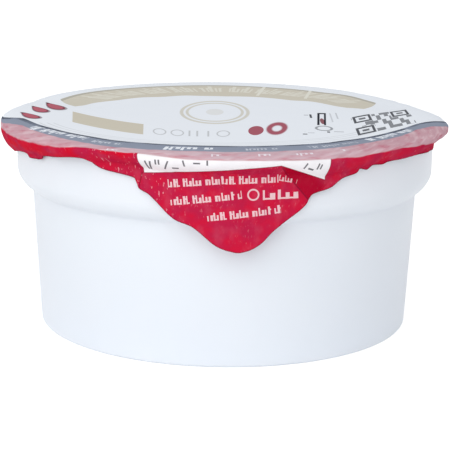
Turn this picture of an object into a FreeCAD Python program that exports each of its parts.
import FreeCAD, Part
import math
import os

# A shut single-portion cup of liquid food, standing upright: a moulded white plastic cup, full
# and therefore solid, under a foil lid. The lid is sealed to the cup's flange, bent down over
# the flange's edge, and hangs below it as a skirt with one pull tab.
# Origin: the middle of the foot, on the surface that the cup stands on. +Z is up, and the tab
# hangs at the front, towards -Y. Angles round the cup are 0 at the front and grow towards +X.

# Driving dimensions, in millimetres.
overall_height = 37.8       # from the foot to the top of the lid

# The cup's wall and base.
foot_radius = 33.4          # outer wall at the foot
wall_flare = 1.3            # how much the wall widens from the foot to the step
foot_rounding = 0.9         # outer corner of the foot
foot_ring_width = 3.0       # flat ring that the cup stands on, with its roundings
recess_depth = 1.0          # hollow of the base, inside that ring
recess_rounding = 0.6
gate_radius = 1.6           # moulding point in the middle of the base
gate_height = 0.4

# The shoulder, a wider band between the wall and the flange.
shoulder_height = 10.8      # from the step to the flange
shoulder_overhang = 2.8     # how far it stands out past the wall
underside_rise = 1.2        # how much its underside climbs outwards
shoulder_rounding = 3.4     # bend from its underside to its upright face
step_rounding = 0.3         # inner corner where its underside meets the wall

# The flange, which the lid is sealed to.
flange_overhang = 1.7       # how far it stands out past the shoulder
flange_thickness = 1.3      # at its root
flange_rounding = 0.3
land_width = 2.9            # outer part of its top, which falls away to the edge
land_slope = 9.0            # degrees
land_rounding = 8.0         # soft corner between the flat of its top and the land

# The foil lid.
foil_thickness = 0.2
land_clearance = 0.25       # between the land and the foil, at the flange's edge
rim_clearance = 0.85        # between the flange's edge and the widest part of the foil
curl_drop = 0.85            # height of the bend from the land to the foil's widest part
curl_rounding = 1.2         # at both ends of that bend
rim_reach = 0.3             # how far below the flange the foil runs on at its widest
tuck_height = 2.1           # height of the slope that brings the skirt in under the flange
tuck_rounding = 0.7         # at both ends of that slope
skirt_clearance = 0.45      # between the shoulder's face and the skirt

# The skirt's lower edge, in heights measured down from the top of the lid.
skirt_drop = 4.7            # halfway between its lobes and its hollows
lobe_height = 1.2           # the edge is lowest at the front, the back and both sides
lobe_count = 4
crinkle_height = 0.12
crinkle_count = 23

# The pull tab, a rounded point that is part of the skirt.
tab_drop = 16.7             # from the top of the lid to the tab's tip
tab_offset = 2.7            # its tip, measured round the skirt from the front towards +X
tab_tip_width = 4.0         # how far from its tip, on each side, its edge is round
tab_left_rise = 0.75        # climb of each side, for each millimetre round the skirt
tab_right_rise = 1.0
tab_blend = 0.9             # softness of the corner between its sides and the skirt's edge

# How the model is made, which changes nothing on the cup itself.
points_per_crinkle = 8      # of the curve along the skirt's edge
cutting_margin = 1.5        # how far the tool that cuts the skirt's edge reaches past the foil
smallest_edge = 0.001       # two bends that take up a whole run leave no edge between them

# Heights and radii that follow from the driving dimensions.
seal_height = overall_height - foil_thickness
flange_base = seal_height - flange_thickness
step_height = flange_base - shoulder_height
recess_radius = foot_radius - foot_ring_width
step_radius = foot_radius + wall_flare
shoulder_radius = step_radius + shoulder_overhang
flange_radius = shoulder_radius + flange_overhang
seal_radius = flange_radius - land_width
land_fall = math.tan(math.radians(land_slope))
land_edge_height = seal_height - land_width * land_fall
rim_radius = flange_radius + rim_clearance
rim_top = land_edge_height - curl_drop
rim_base = flange_base - rim_reach
skirt_top = rim_base - tuck_height
skirt_radius = shoulder_radius + skirt_clearance
skirt_end = overall_height - tab_drop - cutting_margin


def on_section(corner):
    """The point of a section's corner, in the plane that is turned round the cup's axis."""
    return FreeCAD.Vector(corner[0], 0, corner[1])


def room_for_bend(corner, neighbour):
    """The share of the run between two corners that the first one's bend may take."""
    run = (on_section(neighbour) - on_section(corner)).Length
    return run * corner[2] / (corner[2] + neighbour[2])


def bend(before, corner, after):
    """The start, middle and end of the arc at a corner, kept within its share of both runs."""
    point = on_section(corner)
    back = (on_section(before) - point).normalize()
    onward = (on_section(after) - point).normalize()
    half_angle = back.getAngle(onward) / 2
    cut = corner[2] / math.tan(half_angle)
    cut = min(cut, room_for_bend(corner, before), room_for_bend(corner, after))
    inward = (back + onward).normalize()
    middle = point + inward * cut * (1 - math.sin(half_angle)) / math.cos(half_angle)
    return point + back * cut, middle, point + onward * cut


def section_face(corners):
    """A flat face from a section's corners in order, each a (radius, height, rounding)."""
    bends = []
    for i, corner in enumerate(corners):
        if corner[2]:
            bends.append(bend(corners[i - 1], corner, corners[(i + 1) % len(corners)]))
        else:
            bends.append([on_section(corner)])
    edges = []
    for i, points in enumerate(bends):
        if (points[0] - bends[i - 1][-1]).Length > smallest_edge:
            edges.append(Part.LineSegment(bends[i - 1][-1], points[0]).toShape())
        if len(points) == 3:
            edges.append(Part.Arc(*points).toShape())
    return Part.Face(Part.Wire(edges))


def turned(corners):
    """The solid that a section makes when it is turned round the cup's axis."""
    return section_face(corners).revolve(FreeCAD.Vector(), FreeCAD.Vector(0, 0, 1), 360)


def outer_line(inner_line, thickness):
    """The outside of a bent sheet whose inside is a line of corners that runs outwards and down."""
    line = []
    for i, corner in enumerate(inner_line):
        point = on_section(corner)
        run_in = point - on_section(inner_line[i - 1]) if i else FreeCAD.Vector(1, 0, 0)
        run_out = on_section(inner_line[i + 1]) - point if corner != inner_line[-1] else run_in
        normal_in = FreeCAD.Vector(-run_in.z, 0, run_in.x).normalize()
        normal_out = FreeCAD.Vector(-run_out.z, 0, run_out.x).normalize()
        mitre = (normal_in + normal_out) * (thickness / (1 + normal_in.dot(normal_out)))
        bends_down = run_in.x * run_out.z < run_in.z * run_out.x
        rounding = corner[2]
        if rounding:
            rounding += thickness if bends_down else -thickness
        line.append((corner[0] + mitre.x, corner[1] + mitre.z, rounding))
    return line


def skirt_edge(angle):
    """The height of the skirt's lower edge at an angle in radians, tab and all."""
    lobes = lobe_height * math.cos(lobe_count * angle)
    crinkles = crinkle_height * math.sin(crinkle_count * angle)
    plain = overall_height - skirt_drop - lobes + crinkles
    beside = angle * skirt_radius - tab_offset
    rise = tab_left_rise if beside < 0 else tab_right_rise
    climb = rise * (math.hypot(beside, tab_tip_width) - tab_tip_width)
    tab = overall_height - tab_drop + climb
    corner = tab_blend * math.log(1 + math.exp(-abs(plain - tab) / tab_blend))
    return min(plain, tab) - corner


def edge_curve(radius):
    """The skirt's lower edge as a closed curve on an upright cylinder of this radius."""
    points = []
    count = crinkle_count * points_per_crinkle
    for i in range(count):
        angle = math.pi * (2 * i / count - 1)
        x = radius * math.sin(angle)
        y = -radius * math.cos(angle)
        points.append(FreeCAD.Vector(x, y, skirt_edge(angle)))
    curve = Part.BSplineCurve()
    curve.interpolate(points, True)
    return curve.toShape()


def cup():
    """The full cup: base, wall, shoulder and flange, turned from one section."""
    return turned([
        (0, recess_depth - gate_height, 0),
        (gate_radius, recess_depth - gate_height, 0),
        (gate_radius, recess_depth, 0),
        (recess_radius - recess_depth, recess_depth, recess_rounding),
        (recess_radius, 0, recess_rounding),
        (foot_radius, 0, foot_rounding),
        (step_radius, step_height, step_rounding),
        (shoulder_radius, step_height + underside_rise, shoulder_rounding),
        (shoulder_radius, flange_base, flange_rounding),
        (flange_radius, flange_base, flange_rounding),
        (flange_radius, land_edge_height - land_clearance, flange_rounding),
        (seal_radius, seal_height, land_rounding),
        (0, seal_height, 0),
    ])


def foil_lid():
    """The foil: a sheet bent over the flange, with all below the skirt's edge cut away."""
    inner_line = [
        (0, seal_height, 0),
        (seal_radius, seal_height, land_rounding),
        (flange_radius, land_edge_height, curl_rounding),
        (rim_radius, rim_top, curl_rounding),
        (rim_radius, rim_base, tuck_rounding),
        (skirt_radius, skirt_top, tuck_rounding),
        (skirt_radius, skirt_end, 0),
    ]
    sheet = turned(inner_line + outer_line(inner_line, foil_thickness)[::-1])
    inside = edge_curve(skirt_radius - cutting_margin)
    outside = edge_curve(rim_radius + cutting_margin)
    edge_surface = Part.makeRuledSurface(inside, outside)
    below_edge = edge_surface.extrude(FreeCAD.Vector(0, 0, -overall_height))
    return sheet.cut(below_edge).Solids[0]


def write(shape, node):
    """One node's STEP file."""
    shape.exportStep("parts/" + node + ".step")
    print(node, shape.ShapeType, len(shape.Solids), round(shape.Volume, 2), shape.isValid())


os.makedirs("parts", exist_ok=True)
write(cup(), "cup")
write(foil_lid(), "foil_lid")
